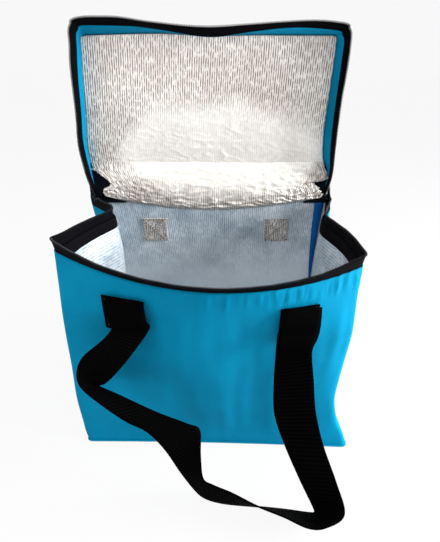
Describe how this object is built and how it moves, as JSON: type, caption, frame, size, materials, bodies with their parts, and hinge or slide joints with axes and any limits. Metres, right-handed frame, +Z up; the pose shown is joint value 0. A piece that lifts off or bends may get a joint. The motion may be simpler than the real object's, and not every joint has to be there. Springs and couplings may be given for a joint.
{
  "type": "insulated lunch bag",
  "caption": "Soft insulated lunch bag standing open: foil-lined foam walls, zipped lid hinged on the back edge, webbing strap handles front and back, zip slider with puller.",
  "frame": {"origin": "centre of the base on the surface it stands on", "axes": "+Z up, front wall towards -Y, +X to the viewer's right"},
  "size_m": [0.2816, 0.3671, 0.402],
  "materials": {
    "turquoise_cloth": "fine woven, matte sheen",
    "foam": "closed-cell foam",
    "foil": "embossed foil film",
    "black_tape": "woven zip tape",
    "black_webbing": "ribbed webbing",
    "nylon_coil": "moulded coil",
    "thread": "sewing thread",
    "metal_black": "lacquered die casting"
  },
  "bodies": {
    "bag": {"base_panel": "turquoise_cloth", "base_foam": "foam", "base_foil": "foil", "front_panel": "turquoise_cloth", "front_foam": "foam", "front_foil": "foil", "back_panel": "turquoise_cloth", "back_foam": "foam", "back_foil": "foil", "left_panel": "turquoise_cloth", "left_foam": "foam", "left_foil": "foil", "right_panel": "turquoise_cloth", "right_foam": "foam", "right_foil": "foil", "rim_binding": "black_tape", "rim_zip_tape": "black_tape", "rim_zip_coil": "nylon_coil", "front_handle_ends": "black_webbing", "back_handle_ends": "black_webbing", "front_handle_stitching": "thread", "back_handle_stitching": "thread", "zip_end_stops": "metal_black"},
    "lid": {"lid_panel": "turquoise_cloth", "lid_foam": "foam", "lid_foil": "foil", "lid_back_strip": "turquoise_cloth", "lid_back_liner": "foil", "lid_skirt": "turquoise_cloth", "lid_zip_tape": "black_tape", "lid_zip_coil": "nylon_coil"},
    "front_handle": {"front_handle": "black_webbing"},
    "back_handle": {"back_handle": "black_webbing"},
    "zip_slider": {"zip_slider": "metal_black"},
    "zip_puller": {"zip_puller": "metal_black"}
  },
  "joints": [
    {"name": "lid_hinge", "type": "hinge", "parent": "bag", "child": "lid", "pos_m": [0, 0.088, 0.2182], "axis": [-1, 0, 0], "range_deg": [-74, 36]},
    {"name": "front_handle_swing", "type": "hinge", "parent": "bag", "child": "front_handle", "pos_m": [0, -0.11656, 0.18], "axis": [-1, 0, 0], "range_deg": [0, 120]},
    {"name": "back_handle_swing", "type": "hinge", "parent": "bag", "child": "back_handle", "pos_m": [0, 0.0905, 0.191], "axis": [1, 0, 0], "range_deg": [0, 120]},
    {"name": "slider_travel", "type": "slide", "parent": "bag", "child": "zip_slider", "axis": [0, -1, 0], "range_m": [0, 0.14]},
    {"name": "puller_swing", "type": "hinge", "parent": "zip_slider", "child": "zip_puller", "pos_m": [-0.13815, 0.0723, 0.21425], "axis": [0, 0, 1], "range_deg": [0, 170]}
  ]
}
